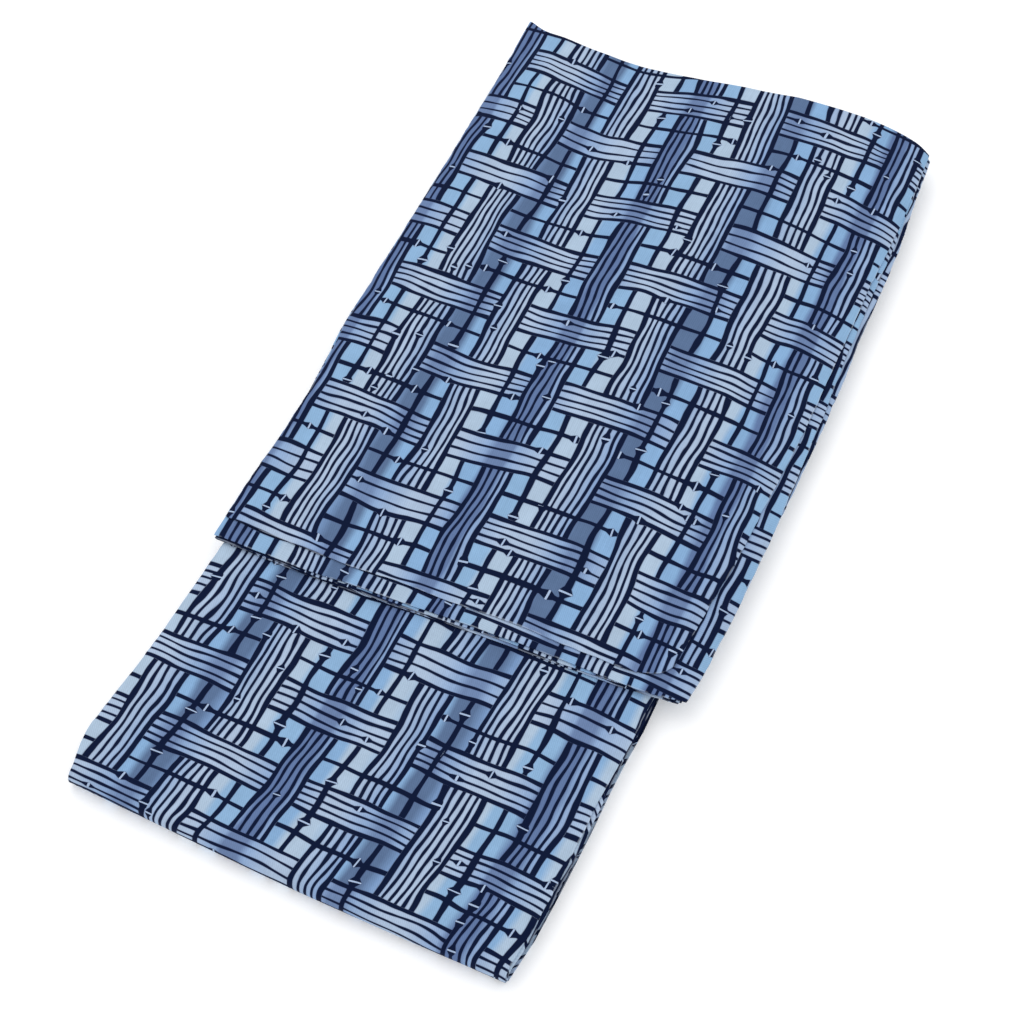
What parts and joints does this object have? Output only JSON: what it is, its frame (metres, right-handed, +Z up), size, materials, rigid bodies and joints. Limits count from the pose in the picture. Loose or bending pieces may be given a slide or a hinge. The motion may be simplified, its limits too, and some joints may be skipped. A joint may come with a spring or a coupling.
{
  "type": "cotton yukata robe, folded",
  "caption": "Cotton yukata robe folded flat: the body doubled at the waist into a long slab, with the sleeves laid over its shoulder end.",
  "frame": {"origin": "under the middle of the folded garment's box, on the surface it rests on", "axes": "+Y along the folded body, from the waist fold to the shoulders; +X across it; +Z up"},
  "size_m": [0.35, 0.7314, 0.0251],
  "materials": {
    "body_cloth": "matt plain-woven cotton with an indigo basket-weave print",
    "inner_cloth": "matt plain-woven cotton, folded edges",
    "collar_cloth": "matt plain-woven cotton with an indigo basket-weave print",
    "right_sleeve_cloth": "matt plain-woven cotton with an indigo basket-weave print",
    "left_sleeve_cloth": "matt plain-woven cotton with an indigo basket-weave print"
  },
  "bodies": {
    "root": {"body_left": "body_cloth", "hidden_layers": "inner_cloth", "collar": "collar_cloth", "sleeve_right": "right_sleeve_cloth", "sleeve_left": "left_sleeve_cloth"}
  },
  "joints": []
}
